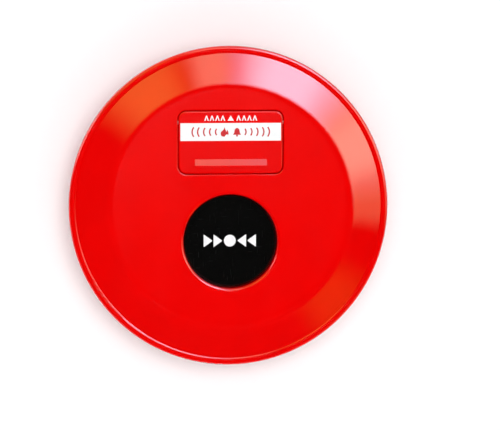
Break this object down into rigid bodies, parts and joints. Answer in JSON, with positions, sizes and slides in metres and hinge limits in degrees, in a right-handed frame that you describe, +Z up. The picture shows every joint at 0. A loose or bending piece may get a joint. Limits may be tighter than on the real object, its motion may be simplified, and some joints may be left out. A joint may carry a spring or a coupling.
{
  "type": "manual fire alarm call point",
  "caption": "Round red wall-mounted fire alarm station with a recessed push button, a hinged flap over a small compartment, and a switch and circuit board inside.",
  "frame": {"origin": "centre of the round wall face, in the wall plane", "axes": "front faces -Y, +Y points into the wall, +X to the right seen from the front, +Z up"},
  "size_m": [0.15, 0.048, 0.15],
  "materials": {
    "cover_red": "gloss moulded, fire red",
    "flap_red": "gloss moulded, fire red",
    "disc_black": "smooth black moulding",
    "label_white": "printed white film",
    "box_red": "fine textured moulding",
    "gasket_black": "closed-cell foam",
    "grommet_rubber": "soft rubber",
    "board_green": "solder-resist coated laminate",
    "steel": "zinc plated",
    "spring_steel": "drawn spring wire",
    "brass": "turned",
    "terminal_grey": "moulded",
    "nylon_white": "natural nylon",
    "carrier_black": "moulded",
    "bracket_grey": "moulded",
    "switch_black": "moulded",
    "lamp_red": "clear red dome",
    "resistor_tan": "coated ceramic"
  },
  "bodies": {
    "housing": {"front_cover": "cover_red", "flap_compartment": "cover_red", "back_box": "box_red", "wall_gasket": "gasket_black", "cable_grommet": "grommet_rubber", "circuit_board": "board_green", "board_screws": "steel", "terminal_block": "terminal_grey", "terminal_screws": "steel", "terminal_clamps": "brass", "switch_body": "switch_black", "switch_pins": "brass", "line_resistors": "resistor_tan", "thread_insert": "brass", "cover_screw": "steel", "screw_retainer": "steel", "guide_bracket": "bracket_grey", "guide_screws": "steel", "button_spring": "spring_steel", "flap_pin": "steel", "phone_jack": "switch_black", "jack_nut": "brass", "jack_contacts": "brass", "response_lamp": "lamp_red", "lamp_spacer": "nylon_white", "lamp_leads": "steel", "latch_pin": "steel", "latch_spring": "spring_steel"},
    "flap_door": {"flap": "flap_red", "flap_label": "label_white"},
    "button": {"button_carrier": "carrier_black", "push_disc": "disc_black"},
    "reset_rocker": {"reset_lever": "nylon_white"},
    "switch_blade": {"switch_lever": "spring_steel"},
    "switch_stud": {"switch_plunger": "nylon_white"}
  },
  "joints": [
    {"name": "flap_hinge", "type": "hinge", "parent": "housing", "child": "flap_door", "pos_m": [0, -0.0444, 0.03975], "axis": [-1, 0, 0], "range_deg": [0, 110]},
    {"name": "button_press", "type": "slide", "parent": "housing", "child": "button", "axis": [0, 1, 0], "range_m": [0, 0.004], "stiffness_N_per_m": 3000, "springref_m": -0.0025, "deforming": ["button_spring"]},
    {"name": "reset_pivot", "type": "hinge", "parent": "housing", "child": "reset_rocker", "pos_m": [0, -0.0237, 0.017], "axis": [-1, 0, 0], "range_deg": [0, 6], "stiffness_Nm_per_rad": 0.01, "springref_deg": -28.65, "deforming": ["latch_spring"]},
    {"name": "switch_lever_pivot", "type": "hinge", "parent": "housing", "child": "switch_blade", "pos_m": [-0.013, -0.0167, -0.016], "axis": [0, 0, 1], "range_deg": [0, 17.1]},
    {"name": "switch_plunger_press", "type": "slide", "parent": "housing", "child": "switch_stud", "axis": [0, 1, 0], "range_m": [0, 0.00102]}
  ],
  "couplings": [
    {"joint": "switch_lever_pivot", "follows": "button_press", "rad_per_m": 74},
    {"joint": "switch_plunger_press", "follows": "button_press", "ratio": 0.25}
  ]
}
